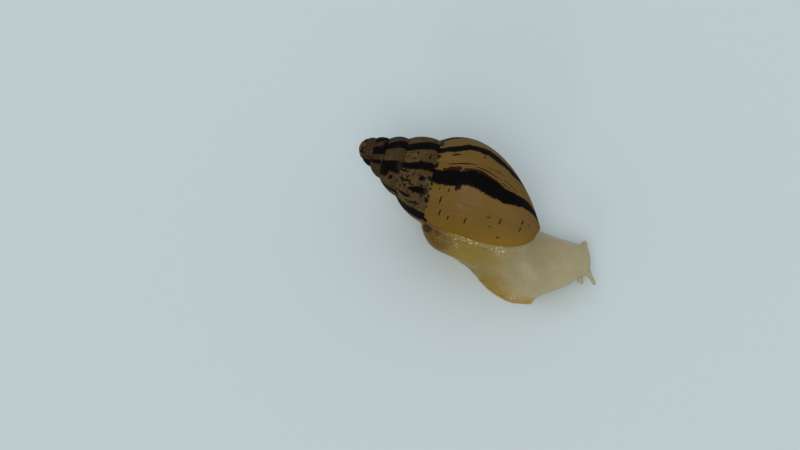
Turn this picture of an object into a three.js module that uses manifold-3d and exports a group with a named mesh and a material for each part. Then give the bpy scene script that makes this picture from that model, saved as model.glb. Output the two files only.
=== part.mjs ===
// Giant african land snail, a still life-size model in a crawling pose.
// Millimetres, +Z up. The animal crawls towards +X, its right side is -Y, and its sole lies at z = 0.
// The shell is one solid. The body is one volume of flesh, parted by thin cuts where its parts are named.
import * as THREE from "three";
import { ParametricGeometry } from "three/addons/geometries/ParametricGeometry.js";
import { mergeVertices } from "three/addons/utils/BufferGeometryUtils.js";
import Module from "manifold-3d";

const { lerp, smoothstep, clamp, degToRad } = THREE.MathUtils;
const vector = (x, y, z) => new THREE.Vector3(x, y, z);
const wasm = await Module();
wasm.setup();

// ---------------------------------------------------------------- driving dimensions

const CUT = 0.3; // width of the thin cuts between neighbouring parts
const HIDDEN_GAP = 0.6; // round the flesh inside the shell's mouth
const PLAN_CENTRE = vector(4.87, -8.86, 0); // middle of the finished model, taken out at the end

// The shell's axis starts at the apex and sinks towards the head.
const SHELL_LENGTH = 86;
const APEX = vector(-52.1, -4.2, 40.3);
const AXIS = vector(0.977, -0.034, -0.211).normalize();
const UPWARD = vector(0.171, -0.47, 0.866).normalize(); // where angle 0 points, seen along the axis
const RIGHTWARD = vector(0, 0, 0).crossVectors(AXIS, UPWARD).normalize(); // where angle 90 points

// The whorls, measured in turns back from the lip.
const OLDER_FROM = 0.9; // the coil is made in half turns: two from the lip, and the older ones from here
const HALF_TURNS = 10;
const LIP_ANGLE = 62; // degrees, at the suture
const LIP_SLANT = 13; // degrees the lip falls back from the suture to its middle
const SUTURE_HEIGHT = 38; // from the apex, along the axis, at the lip
const SUTURE_RADIUS = 17.9;
const HEIGHT_GROWTH = 0.53; // natural logarithm of the growth in one turn
const RADIUS_GROWTH = 0.36;
const TIP_TURN = 3; // the whorls older than this one form a blunt dome
const TIP_HEIGHT = 0.6; // the dome's own top
const TIP_GROWTH = 0.35; // natural logarithm of the dome's growth in radius in one turn
const TIP_BLUNTNESS = 3; // power of the dome's height on its radius
const ADULT_TURN = 0.25; // the last part of the growth, where the shell changes its section
const LIP_BULGE = 1.26; // widest radius over the suture's radius
const WHORL_BULGE = 1.48;
const LIP_BASE_POWER = 0.35; // a lower power makes a fuller base
const BASE_POWER = 0.7;
const BODY_WIDEST = 0.305; // share of the way from suture to base, at the lip and in the spire
const SPIRE_WIDEST = 0.45;
const SHOWN_SHARE = 0.476; // share of a spire whorl that the next one leaves open
const SHOULDER_POWER = 0.8;
const WALL = 1.1;
const POCKET_TURNS = 0.17; // how far the aperture's hollow reaches back
const LIP_CLEARANCE = 0.004; // turns between the lip's edge and the flesh outside it
const PAST_LIP = 0.04; // how far the hollow's tool runs out past the lip, in turns
const CORE_RADIUS = 0.6; // the whorls are swept round a core of about this radius

// ---------------------------------------------------------------- solids

/** A closed geometry as a solid, with its seams and poles merged and its faces turned outwards. */
function solidOf(geometry) {
  const bare = geometry.clone();
  bare.deleteAttribute("normal");
  bare.deleteAttribute("uv");
  const merged = mergeVertices(bare, 1e-4);
  const corners = [];
  const index = merged.index.array;
  for (let i = 0; i < index.length; i += 3) {
    const [a, b, c] = index.slice(i, i + 3);
    if (a !== b && b !== c && c !== a) corners.push(a, b, c);
  }
  const build = (triangles) =>
    new wasm.Manifold(
      new wasm.Mesh({
        numProp: 3,
        vertProperties: merged.attributes.position.array,
        triVerts: new Uint32Array(triangles),
      }),
    );
  const solid = build(corners);
  return solid.volume() > 0 ? solid : build(corners.reverse());
}

const joined = (solids) => solids.reduce((sum, solid) => sum.add(solid));

/** A closed body swept through rows of a ring, with a cap at each end; centre gives the caps' middles. */
function sweep(sides, steps, point, centre) {
  const rows = steps + 2;
  const surface = (u, v, target) => {
    const row = Math.round(v * rows);
    const along = (clamp(row, 1, rows - 1) - 1) / steps;
    if (row === 0 || row === rows) centre(along, target);
    else point(along, (Math.round(u * sides) % sides) / sides, target);
  };
  return solidOf(new ParametricGeometry(surface, sides, rows));
}

/** The part of a solid ahead of a plane and the part behind it, with a thin cut between them. */
function parted(solid, at, ahead) {
  const reach = 300;
  const half = (direction) => {
    const box = new THREE.BoxGeometry(reach, reach, reach).translate(0, 0, reach / 2 + CUT / 2);
    const turn = new THREE.Quaternion().setFromUnitVectors(vector(0, 0, 1), direction);
    return solidOf(box.applyQuaternion(turn).translate(at.x, at.y, at.z));
  };
  const forward = ahead.clone().normalize();
  return [solid.intersect(half(forward)), solid.intersect(half(forward.clone().negate()))];
}

// ---------------------------------------------------------------- shell

const adult = (turns) => smoothstep(turns, 0, ADULT_TURN);

/** Height of the suture along the axis: steady growth, with the oldest whorls drawn into a low dome. */
function sutureHeight(turns) {
  const steady = SUTURE_HEIGHT * Math.exp(-HEIGHT_GROWTH * Math.min(turns, TIP_TURN));
  if (turns <= TIP_TURN) return steady;
  return TIP_HEIGHT + (steady - TIP_HEIGHT) * Math.exp(-TIP_BLUNTNESS * TIP_GROWTH * (turns - TIP_TURN));
}

function sutureRadius(turns) {
  const steady = SUTURE_RADIUS * Math.exp(-RADIUS_GROWTH * Math.min(turns, TIP_TURN));
  return steady * Math.exp(-TIP_GROWTH * Math.max(0, turns - TIP_TURN));
}

/** How far from the apex a whorl's base lies, hidden inside the next whorl except on the last one. */
function baseHeight(turns) {
  const age = Math.max(turns, 1);
  const hidden = sutureHeight(age) + (sutureHeight(age - 1) - sutureHeight(age)) / SHOWN_SHARE;
  return turns >= 1 ? hidden : lerp(SHELL_LENGTH, hidden, smoothstep(turns, 0.2, 1));
}

/** Radius of a whorl's wall at a share of the way from its suture to its base. */
function wallRadius(share, turns) {
  const bulge = lerp(LIP_BULGE, WHORL_BULGE, adult(turns));
  const widest = lerp(BODY_WIDEST, SPIRE_WIDEST, smoothstep(turns, 0.4, 1));
  const suture = sutureRadius(turns);
  if (share < widest) {
    const rise = Math.sin((Math.PI / 2) * (share / widest) ** SHOULDER_POWER);
    return suture * (1 + (bulge - 1) * rise);
  }
  const fall = Math.cos((Math.PI / 2) * ((share - widest) / (1 - widest)));
  return suture * bulge * Math.max(fall, 0) ** lerp(LIP_BASE_POWER, BASE_POWER, adult(turns));
}

/** A point of the shell's space from its height along the axis, its radius and its angle in degrees. */
function place(height, radius, angle, target) {
  const turn = degToRad(angle);
  return target
    .copy(APEX)
    .addScaledVector(AXIS, height)
    .addScaledVector(UPWARD, radius * Math.cos(turn))
    .addScaledVector(RIGHTWARD, radius * Math.sin(turn));
}

/** Angle of the growth line of an age, at a share of the way from suture to base. */
const growthAngle = (share, turns) => LIP_ANGLE - 360 * turns - LIP_SLANT * smoothstep(share, 0, 0.4);

/** The whorl between two ages, in turns back from the lip, filled to the core and grown by an offset. */
function whorl(from, to, steps, sides, offset) {
  const outer = Math.round(sides * 0.75); // sides of the ring on the wall; the rest run back along the core
  const point = (along, around, target) => {
    const turns = lerp(from, to, along);
    const side = Math.round(around * sides);
    const onWall = side <= outer;
    const share = onWall ? (side / outer) ** 1.25 : 1 - (side - outer) / (sides - outer);
    const radius = onWall ? Math.max(wallRadius(share, turns) + offset, CORE_RADIUS) : CORE_RADIUS;
    const height = lerp(sutureHeight(turns) - offset, baseHeight(turns) + offset, share);
    return place(height, radius, growthAngle(share, turns), target);
  };
  const centre = (along, target) => {
    const turns = lerp(from, to, along);
    const middle = (sutureHeight(turns) + baseHeight(turns)) / 2;
    return place(middle, sutureRadius(turns) / 2, growthAngle(0.5, turns), target);
  };
  return sweep(sides, steps, point, centre);
}

/** Half a turn of the coil and one step more, so that the next half overlaps it face on face. */
const halfTurn = (from, steps, sides, offset) =>
  whorl(from, from + (0.5 * (steps + 1)) / steps, steps + 1, sides, offset);

/** A body of revolution about the shell's axis, from pairs of height and radius. */
function turned(outline, sides) {
  const profile = outline.map(([height, radius]) => new THREE.Vector2(radius, height));
  const basis = new THREE.Matrix4().makeBasis(UPWARD, AXIS, RIGHTWARD.clone().negate());
  return solidOf(new THREE.LatheGeometry(profile, sides).applyMatrix4(basis.setPosition(APEX)));
}

/** The whorls before the last one, with the core and the rounded apex. */
function olderWhorls(offset) {
  const oldest = OLDER_FROM + HALF_TURNS / 2;
  const tip = sutureRadius(oldest);
  const top = sutureHeight(oldest);
  const dome = [0, 30, 60, 90].map((degrees) => {
    const turn = degToRad(degrees);
    return [top - (TIP_HEIGHT + offset) * Math.cos(turn), (tip + offset) * Math.sin(turn)];
  });
  const core = [...dome, [baseHeight(1) - 4, 1.6 + offset], [SHELL_LENGTH - 7, 1.3 + offset]];
  const pieces = [turned([...core, [SHELL_LENGTH - 6, 0]], 16)];
  for (let half = 0; half < HALF_TURNS; half += 1) {
    const coarseness = Math.floor(half / 2); // smaller whorls need fewer faces
    pieces.push(halfTurn(OLDER_FROM + half / 2, 11 - 2 * coarseness, Math.max(12 - coarseness, 8), offset));
  }
  return joined(pieces);
}

const lastWhorl = (offset) => joined([halfTurn(0, 14, 20, offset), halfTurn(0.5, 14, 20, offset)]);

// ---------------------------------------------------------------- body

/** A soft body along a curve; each station gives its centre, half width and half height. */
function soft(stations, sides, steps) {
  const path = new THREE.CatmullRomCurve3(stations.map(([x, y, z]) => vector(x, y, z)));
  const girth = new THREE.CatmullRomCurve3(stations.map((s) => vector(s[3], s[4], 0)));
  const up = vector(0, 0, 0);
  const side = vector(0, 0, 0);
  const middle = vector(0, 0, 0);
  const size = vector(0, 0, 0);
  const point = (along, around, target) => {
    path.getPoint(along, middle);
    girth.getPoint(along, size);
    const forward = path.getTangent(along);
    side.set(forward.y, -forward.x, 0).normalize();
    up.crossVectors(side, forward).normalize();
    const turn = around * 2 * Math.PI;
    return target
      .copy(middle)
      .addScaledVector(side, size.x * Math.cos(turn))
      .addScaledVector(up, size.y * Math.sin(turn));
  };
  return sweep(sides, steps, point, (along, target) => path.getPoint(along, target));
}

/** The thick edge of the mantle, a roll of flesh all round the mouth of the shell, from suture to base. */
function collar() {
  const rollRadius = 2.6;
  const inset = 2.2; // from the shell's wall to the middle of the roll
  const below = 5; // degrees past the lip
  const shares = [0.05, 0.15, 0.35, 0.55, 0.75, 0.9];
  const stations = shares.map((share) => {
    const height = lerp(sutureHeight(0), SHELL_LENGTH, share);
    const radius = wallRadius(share, 0) - inset;
    const { x, y, z } = place(height, radius, growthAngle(share, 0) + below, vector(0, 0, 0));
    return [x, y, z, rollRadius, rollRadius];
  });
  return soft(stations, 8, 14);
}

/** Foot, trunk, mantle, neck and head as one volume, before the shell and the floor are taken from it. */
function fleshVolume() {
  const sole = [
    [-41, 6.5, 0.8, 2, 1.4],
    [-36, 4.9, 0.8, 4.7, 2.6],
    [-28, 2.2, 0.8, 6.9, 3.6],
    [-15, -3, 0.8, 10.6, 4.5],
    [0, -9.5, 0.8, 11.9, 5],
    [12, -15.5, 0.8, 10.8, 7],
    [22, -21.6, 0.8, 10.7, 8.8],
    [29, -24.6, 0.8, 10.1, 8.4],
    [34.5, -25.6, 0.8, 7.9, 6],
    [38, -26.1, 0.8, 5.6, 3.2],
  ];
  const back = [
    [-38, 5.5, 1.5, 1.5, 1.5],
    [-27, 1.5, 3, 5, 5.5],
    [-12, -4.5, 5, 8.5, 9],
    [2, -10, 7, 10, 13],
    [14, -15.5, 9, 11, 15],
    [25, -17.5, 10, 13, 13.5],
    [34, -16.4, 10.2, 14.4, 11],
    [43, -13.8, 10.2, 13.6, 8],
    [47.6, -11.2, 10.2, 10.4, 6.6],
    [51, -9.2, 9.6, 8, 5.6],
    [54.1, -8, 9, 7.6, 4.8],
    [55.8, -7.4, 8.6, 4.5, 2.8],
  ];
  const column = [
    [-11, -16, 19, 3, 6],
    [-8, -16.2, 18, 8, 12.5],
    [1, -16.6, 17, 10.6, 17],
    [13, -16.8, 16, 11.8, 17],
    [23, -17, 13.5, 12, 14.2],
    [31, -17, 10.8, 10.2, 9],
    [38, -15.5, 10, 7.5, 6.5],
    [44, -13, 10, 4, 3],
  ];
  const fold = [
    [-14.2, -19.6, 27, 2, 2.5],
    [-12.6, -23.4, 24.4, 3.7, 4.3],
    [-7.6, -25.4, 20.3, 4.5, 5.2],
    [0, -24.8, 17.5, 4.2, 4.6],
    [7, -22.5, 15.5, 2, 2.4],
  ];
  return joined([soft(sole, 16, 24), soft(back, 16, 24), soft(column, 14, 14), soft(fold, 10, 8), collar()]);
}

/** A round-tipped feeler from root to tip; grown, it is the socket that its root sits in. */
function feeler({ root, tip, rootRadius, tipRadius }, grown) {
  const from = vector(...root);
  const along = vector(...tip).sub(from);
  const length = along.length();
  const straight = length - tipRadius;
  const outline = [new THREE.Vector2(0, -grown), new THREE.Vector2(rootRadius + grown, -grown)];
  for (const degrees of [0, 30, 60]) {
    const radius = (tipRadius + grown) * Math.cos(degToRad(degrees));
    outline.push(new THREE.Vector2(radius, straight + (tipRadius + grown) * Math.sin(degToRad(degrees))));
  }
  outline.push(new THREE.Vector2(0, length + grown));
  const turn = new THREE.Quaternion().setFromUnitVectors(vector(0, 1, 0), along.normalize());
  return solidOf(new THREE.LatheGeometry(outline, 10).applyQuaternion(turn).translate(...root));
}

function ball(middle, radius) {
  return solidOf(new THREE.SphereGeometry(radius, 10, 6).translate(...middle));
}

// ---------------------------------------------------------------- assembly

const group = new THREE.Group();
group.position.copy(PLAN_CENTRE).negate();

/** Adds the largest body of a solid as a named mesh; the rest are crumbs left by the cuts. */
function add(name, solid, material) {
  const [largest] = solid.decompose().sort((one, other) => other.volume() - one.volume());
  const mesh = largest.getMesh();
  const geometry = new THREE.BufferGeometry();
  geometry.setAttribute("position", new THREE.BufferAttribute(mesh.vertProperties, 3));
  geometry.setIndex(new THREE.BufferAttribute(mesh.triVerts, 1));
  const node = new THREE.Mesh(geometry, material);
  node.name = name;
  group.add(node);
}

const shellMaterial = new THREE.MeshStandardMaterial({ color: 0x9a7a48, roughness: 0.35, metalness: 0 });
const skinMaterial = new THREE.MeshStandardMaterial({ color: 0xd9cfae, roughness: 0.4, metalness: 0 });
const mantleMaterial = new THREE.MeshStandardMaterial({ color: 0xc9b46a, roughness: 0.4, metalness: 0 });
const eyeMaterial = new THREE.MeshStandardMaterial({ color: 0x15110d, roughness: 0.15, metalness: 0 });

// The shell, open at its mouth, and the flesh that fills and leaves it.
const older = olderWhorls(0);
const mouth = whorl(-PAST_LIP, POCKET_TURNS, 7, 20, -WALL).subtract(older);
add("shell", joined([older, lastWhorl(0)]).subtract(mouth), shellMaterial);

const pastLip = whorl(-LIP_CLEARANCE, LIP_CLEARANCE, 1, 20, CUT);
const shellGrown = joined([olderWhorls(CUT), lastWhorl(CUT), pastLip]);
const plug = whorl(-PAST_LIP, POCKET_TURNS - 0.01, 7, 20, -WALL - CUT).subtract(olderWhorls(HIDDEN_GAP));
const floor = solidOf(new THREE.BoxGeometry(400, 400, 100).translate(0, 0, -50));
const flesh = fleshVolume().subtract(shellGrown).subtract(floor).add(plug);

// Crosswise cuts part the tail, the neck and the head from the middle of the body.
const [aheadOfTail, tail] = parted(flesh, vector(-24, 0, 0), vector(0.93, -0.36, 0));
const [aheadOfTrunk, middle] = parted(aheadOfTail, vector(38.5, -18, 0), vector(0.96, 0.28, 0));
const [headWhole, neck] = parted(aheadOfTrunk, vector(48.5, -10.5, 0), vector(0.87, 0.49, 0));

// The mantle is what lies above a plane just below the shell's mouth, and the foot what lies below the trunk.
const mouthAngle = degToRad(LIP_ANGLE - LIP_SLANT + 90);
const outward = vector(0, 0, 0)
  .addScaledVector(UPWARD, Math.cos(mouthAngle))
  .addScaledVector(RIGHTWARD, Math.sin(mouthAngle));
const belowMouth = place(60, 0, 0, vector(0, 0, 0)).addScaledVector(outward, 4.5);
const [belowShell, mantle] = parted(middle, belowMouth, outward);
const [trunk, foot] = parted(belowShell, vector(0, 0, 4.6), vector(0, 0, 1));
const [footFront, footRear] = parted(foot, vector(8, -13, 0), vector(0.88, -0.47, 0));
add("mantle", mantle, mantleMaterial);
add("tail", tail, skinMaterial);
add("foot_rear", footRear, skinMaterial);
add("foot_front", footFront, skinMaterial);
add("trunk", trunk, skinMaterial);
add("neck", neck, skinMaterial);

// Feelers sit in sockets in the head. The upper pair ends in the eyes; the left one is drawn in.
const feelers = {
  upper_tentacle_right: { root: [55.4, -12, 9.2], tip: [61.4, -18.2, 9.4], rootRadius: 1.5, tipRadius: 0.8 },
  upper_tentacle_left: { root: [50.7, -4.4, 9.9], tip: [51, -0.3, 11.2], rootRadius: 2, tipRadius: 1.3 },
  lower_tentacle_right: { root: [52.4, -14.2, 5.8], tip: [55.6, -17.4, 4.2], rootRadius: 1.5, tipRadius: 0.6 },
  lower_tentacle_left: { root: [52.6, -5.6, 5.4], tip: [54.2, -3.3, 3.8], rootRadius: 1.4, tipRadius: 0.8 },
};
const eyeRadius = 0.46;
const eyeDepth = 0.3; // the eye's middle lies this far inside the tip
let head = headWhole;
for (const [name, shape] of Object.entries(feelers)) {
  const whole = feeler(shape, 0);
  head = head.subtract(feeler(shape, CUT));
  if (name.startsWith("upper")) {
    const inward = vector(...shape.root).sub(vector(...shape.tip)).setLength(eyeDepth);
    const centre = vector(...shape.tip).add(inward).toArray();
    add(name, whole.subtract(ball(centre, eyeRadius + CUT)), skinMaterial);
    add(name.replace("upper_tentacle", "eye"), ball(centre, eyeRadius), eyeMaterial);
  } else {
    add(name, whole, skinMaterial);
  }
}
add("head", head, skinMaterial);

export default group;
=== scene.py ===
import bpy
import numpy as np
import openvdb
from mathutils import Matrix


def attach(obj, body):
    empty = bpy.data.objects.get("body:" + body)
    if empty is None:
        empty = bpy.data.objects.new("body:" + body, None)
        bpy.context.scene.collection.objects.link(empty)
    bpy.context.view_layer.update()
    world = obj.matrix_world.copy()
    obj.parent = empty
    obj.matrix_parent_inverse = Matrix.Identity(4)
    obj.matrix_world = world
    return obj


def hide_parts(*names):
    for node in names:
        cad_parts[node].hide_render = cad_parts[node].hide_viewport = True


# Giant african land snail, life size: the shell's whorls, flames and growth lines, the wet skin and the eyes.
# Shapes are worked out in millimetres, where +X is ahead and +Z is up. Materials read metres.

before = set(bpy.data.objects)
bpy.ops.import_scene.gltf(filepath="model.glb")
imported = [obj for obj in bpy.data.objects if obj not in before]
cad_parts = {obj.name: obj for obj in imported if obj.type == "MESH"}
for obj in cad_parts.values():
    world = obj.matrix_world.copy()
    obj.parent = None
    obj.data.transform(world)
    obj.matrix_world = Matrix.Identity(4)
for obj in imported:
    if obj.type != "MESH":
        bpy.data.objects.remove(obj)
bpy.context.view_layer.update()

MM = 0.001
PLAN_CENTRE = np.array([4.87, -8.86, 0.0])  # taken out of every finished piece, as in the frame
SEED = 7  # each use of noise adds a number of its own


# ---------------- small tools

RIPPLE_REPEAT, RIPPLE_START = 4096, 1000  # heights along a line before they repeat, and where it starts
LUMP_REPEAT, LUMP_START = 64, 500  # cubes along each side of the space, in the same way


def unit(vector):
    """The vector divided by its length."""
    vector = np.asarray(vector, dtype=float)
    return vector / np.linalg.norm(vector)


def units(vectors):
    """Each row divided by its length."""
    return vectors / np.linalg.norm(vectors, axis=1)[:, None]


def lerp(first, second, amount):
    """The first value, moved towards the second by an amount from 0 to 1."""
    return first + (second - first) * amount


def smooth(value, low, high):
    """0 below low and 1 above high, with a cubic between them: 3 t squared minus 2 t cubed."""
    t = np.clip((value - low) / (high - low), 0, 1)
    return t * t * (3 - 2 * t)


def bell(value, width):
    """A bell curve: e to the power of minus the square of the value over its width."""
    return np.exp(-((value / width) ** 2))


def ripple(value, seed, octaves=1):
    """Smooth noise from about -1 to 1 along a line: random heights at whole numbers, joined by cubics.
    Each further octave is twice as fine and half as high."""
    total = np.zeros_like(np.asarray(value, dtype=float))
    for octave in range(octaves):
        heights = np.random.default_rng(seed + octave).uniform(-1, 1, RIPPLE_REPEAT)
        along = value * 2.0**octave + RIPPLE_START
        whole = np.floor(along).astype(int)
        before, after = heights[whole % RIPPLE_REPEAT], heights[(whole + 1) % RIPPLE_REPEAT]
        total += lerp(before, after, smooth(along - whole, 0, 1)) / 2.0**octave
    return total


def waves(along, kind, seed, octaves=1):
    """Ripples of one kind, given as its height and its number in a unit of the way along."""
    height, number = kind
    return height * ripple(along * number, seed, octaves)


def lumps(points, size, seed):
    """Smooth noise from about -1 to 1 in space: random heights at the corners of cubes, joined by cubics."""
    heights = np.random.default_rng(seed).uniform(-1, 1, (LUMP_REPEAT,) * 3)
    cube = points / size + LUMP_START
    whole = np.floor(cube).astype(int)
    t = smooth(cube - whole, 0, 1)
    total = np.zeros(len(points))
    for corner in np.ndindex(2, 2, 2):
        weight = np.prod(np.where(corner, t, 1 - t), axis=1)
        i, j, k = ((whole + corner) % LUMP_REPEAT).T
        total += weight * heights[i, j, k]
    return total


def grid_faces(rows, columns, closed):
    """The quads of a grid of points, row by row; closed joins the last column to the first."""
    across = columns if closed else columns - 1
    row = np.arange(rows - 1)[:, None] * columns
    here = np.arange(across)[None, :]
    beside = (here + 1) % columns
    corners = [row + here, row + beside, row + columns + beside, row + columns + here]
    return np.stack(corners, -1).reshape(-1, 4)


def ring_ends(quads, rows, sides):
    """One flat polygon over each end ring of a body of rings, facing the way its quads do."""
    first = np.arange(sides)
    last = first + (rows - 1) * sides
    return [first[::-1], last] if quads[0, 0] == 0 else [first, last[::-1]]


def facing_out(points, quads):
    """The quads, turned over if the volume they enclose comes out negative."""
    a, b, c, d = (points[quads[:, corner]] for corner in range(4))
    volume = np.einsum("ij,ij->", a, np.cross(b, c)) + np.einsum("ij,ij->", a, np.cross(c, d))
    return quads if volume > 0 else quads[:, ::-1]


def shown(name, data):
    """A new object of the scene, with its mesh, lamp or lens."""
    made = bpy.data.objects.new(name, data)
    bpy.context.scene.collection.objects.link(made)
    return made


def make_piece(name, points, faces, material):
    """A smooth-shaded object from points in millimetres, set where the frame has its place."""
    mesh = bpy.data.meshes.new(name)
    mesh.from_pydata(((points - PLAN_CENTRE) * MM).tolist(), [], faces)
    mesh.shade_smooth()
    mesh.materials.append(material)
    return shown(name, mesh)


# ---------------- materials

MIX_FIRST, MIX_SECOND, MIX_RESULT = 6, 7, 2  # places of the Mix node's colour sockets


class Value:
    """A number that varies over a surface. Each operator adds a Math node to its material."""

    def __init__(self, paint, socket):
        self.paint = paint
        self.socket = socket

    def __add__(self, other):
        return self.paint.math("ADD", self, other)

    def __sub__(self, other):
        return self.paint.math("SUBTRACT", self, other)

    def __rsub__(self, other):
        return self.paint.math("SUBTRACT", other, self)

    def __mul__(self, other):
        return self.paint.math("MULTIPLY", self, other)

    def __truediv__(self, other):
        return self.paint.math("DIVIDE", self, other)

    __radd__ = __add__
    __rmul__ = __mul__


class Paint:
    """A new material and the nodes that colour it."""

    def __init__(self, name):
        self.material = bpy.data.materials.new(name)
        self.material.use_nodes = True
        self.tree = self.material.node_tree
        self.tree.nodes.clear()

    def node(self, kind, settings, inputs, output=0):
        """Adds a node with its settings, sets or links its sockets, and gives one of its outputs."""
        made = self.tree.nodes.new(kind)
        for setting, value in settings.items():
            if setting == "stops":
                stops = made.color_ramp.elements
                while len(stops) < len(value):
                    stops.new(0.5)
                for stop, (position, colour) in zip(stops, value):
                    stop.position = position
                    stop.color = (*colour, 1.0)
            else:
                setattr(made, setting, value)
        for key, value in inputs.items():
            if isinstance(value, Value):
                self.tree.links.new(value.socket, made.inputs[key])
            else:
                made.inputs[key].default_value = value
        return Value(self, made.outputs[output]) if made.outputs else None

    def math(self, operation, first, second=0.0):
        return self.node("ShaderNodeMath", {"operation": operation}, {0: first, 1: second})

    def largest(self, values):
        found, *others = values
        for value in others:
            found = self.math("MAXIMUM", found, value)
        return found

    def smooth(self, value, none, full):
        """0 up to none and 1 from full on, eased between them. Full may be below none."""
        low, high, at_low, at_high = (none, full, 0.0, 1.0) if none < full else (full, none, 1.0, 0.0)
        inputs = {"Value": value, "From Min": low, "From Max": high, "To Min": at_low, "To Max": at_high}
        return self.node("ShaderNodeMapRange", {"interpolation_type": "SMOOTHSTEP"}, inputs)

    def blend(self, amount, first, second):
        """The first colour, moved towards the second."""
        inputs = {"Factor": amount}
        for socket, colour in ((MIX_FIRST, first), (MIX_SECOND, second)):
            inputs[socket] = colour if isinstance(colour, Value) else (*colour, 1.0)
        return self.node("ShaderNodeMix", {"data_type": "RGBA"}, inputs, MIX_RESULT)

    def tint(self, colour, amount):
        """The colour times a number."""
        return self.node("ShaderNodeVectorMath", {"operation": "SCALE"}, {0: colour, "Scale": amount})

    def places(self):
        """Places on the piece, in metres, as the frame has them."""
        return self.node("ShaderNodeTexCoord", {}, {}, "Object")

    def distance(self, first, second):
        return self.node("ShaderNodeVectorMath", {"operation": "DISTANCE"}, {0: first, 1: second}, "Value")

    def together(self, x, y, z):
        return self.node("ShaderNodeCombineXYZ", {}, {0: x, 1: y, 2: z})

    def axes(self, vector):
        """The three numbers of a vector."""
        first = self.node("ShaderNodeSeparateXYZ", {}, {0: vector})
        return [Value(self, socket) for socket in first.socket.node.outputs]

    def noise(self, vector, scale, detail=2.0, roughness=0.5):
        """Cloudy noise from about 0 to 1."""
        inputs = {"Vector": vector, "Scale": scale, "Detail": detail, "Roughness": roughness}
        return self.node("ShaderNodeTexNoise", {}, inputs)

    def cells(self, vector, scale, feature="F1"):
        """Distance from the middles, or from the edges, of random cells."""
        return self.node("ShaderNodeTexVoronoi", {"feature": feature}, {"Vector": vector, "Scale": scale})

    def bump(self, height, strength, distance):
        """A normal from a height."""
        return self.node("ShaderNodeBump", {}, {"Height": height, "Strength": strength, "Distance": distance})

    def finish(self, inputs):
        """Ends the material with one Principled shader."""
        shader = self.node("ShaderNodeBsdfPrincipled", {"subsurface_method": "RANDOM_WALK"}, inputs)
        self.node("ShaderNodeOutputMaterial", {}, {"Surface": shader})
        return self.material


# ---------------- shell: its form

SHELL_LENGTH = 86
APEX = np.array([-52.1, -4.2, 40.3])
AXIS = unit([0.977, -0.034, -0.211])
UPWARD = unit([0.171, -0.47, 0.866])  # where angle 0 points, seen along the axis
RIGHTWARD = unit(np.cross(AXIS, UPWARD))  # where angle 90 points

# The whorls, by age in turns back from the lip, and by share, from 0 at a whorl's suture to 1 at its base.
OLDEST_TURN = 7.4
LIP_ANGLE = 62  # degrees, at the suture
LIP_SLANT = 13  # degrees the lip falls back from the suture to its middle
SLANT_SHARE = 0.4  # where it is full
SUTURE_HEIGHT = 38  # from the apex, along the axis, at the lip
SUTURE_RADIUS = 17.9
HEIGHT_GROWTH = 0.53  # natural logarithm of the growth in one turn
RADIUS_GROWTH = 0.36
TIP_TURN = 3  # the whorls older than this one form a blunt dome
TIP_HEIGHT = 0.6
TIP_GROWTH = 0.35
TIP_BLUNTNESS = 3
ADULT_TURN = 0.25
LIP_BULGE = 1.26  # widest radius over the suture's radius
WHORL_BULGE = 1.48
LIP_BASE_POWER = 0.35
BASE_POWER = 0.7
BODY_WIDEST = 0.305  # share of the widest place
SPIRE_WIDEST = 0.45
WIDEST_MOVES = (0.4, 1)  # turns between which it moves from the one to the other
BASE_LIFTS = (0.2, 1)  # turns between which the base leaves the shell's end
SHOWN_SHARE = 0.476
SHOULDER_POWER = 0.8
WALL = 1.0
LIP_WALL = 0.3  # the wall thins to this at the lip
LIP_TAPER = 0.05  # turns over which it thins
FULL_WALL_RADIUS = 9  # whorls with smaller sutures have thinner walls
CORE_RADIUS = 0.5
WALL_ROWS, WALL_COLUMNS = 600, 74
COLUMN_POWER = 1.15  # gathers the columns near the suture
PILLAR = ((14, 30, 52, 70, 79, 81), (0.4, 1.0, 1.6, 1.4, 1.2, 0.02))  # heights and radii
PILLAR_SIDES = 24
CAP_HEIGHTS = (0.25, 0.85)  # the smooth first whorl's top and rim
CAP_RADIUS = 2.0
CAP_RINGS, CAP_SIDES = 12, 48
PLAIN_SHARE = 0.2  # the pillar's and the cap's, on the map of growth

# Growth lines, as the height of their relief and their number in a turn.
COARSE_LINES = (0.16, 17)
MIDDLE_LINES = (0.075, 62)
GROOVES = (0.14, 30)
GROOVE_FROM = 0.55  # height of the noise from which it cuts a groove
LINE_WAVES = (0.004, 9)  # turns a line sways by, and its waves from suture to base
PLEATS = (0.12, 95)  # short pleats at the suture
PLEAT_SHARE = 0.05
PINCH_DEPTH, PINCH_SHARE, PINCH_WIDTH = 0.25, 0.045, 0.02
CALM_BASE = 0.15  # share at the base over which the lines fade


def suture_height(turns):
    """Height of the suture along the axis: exponential in age, and past TIP_TURN drawn into a low dome."""
    steady = SUTURE_HEIGHT * np.exp(-HEIGHT_GROWTH * np.minimum(turns, TIP_TURN))
    fall = np.exp(-TIP_BLUNTNESS * TIP_GROWTH * np.maximum(turns - TIP_TURN, 0))
    return np.where(turns <= TIP_TURN, steady, TIP_HEIGHT + (steady - TIP_HEIGHT) * fall)


def suture_radius(turns):
    """Radius of the suture, exponential in age with a second rate past TIP_TURN."""
    steady = SUTURE_RADIUS * np.exp(-RADIUS_GROWTH * np.minimum(turns, TIP_TURN))
    return steady * np.exp(-TIP_GROWTH * np.maximum(turns - TIP_TURN, 0))


def base_height(turns):
    """Height of a whorl's base: the next whorl hides all but SHOWN_SHARE of each whorl older than a turn."""
    age = np.maximum(turns, 1)
    hidden = suture_height(age) + (suture_height(age - 1) - suture_height(age)) / SHOWN_SHARE
    return np.where(turns >= 1, hidden, lerp(SHELL_LENGTH, hidden, smooth(turns, *BASE_LIFTS)))


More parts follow.
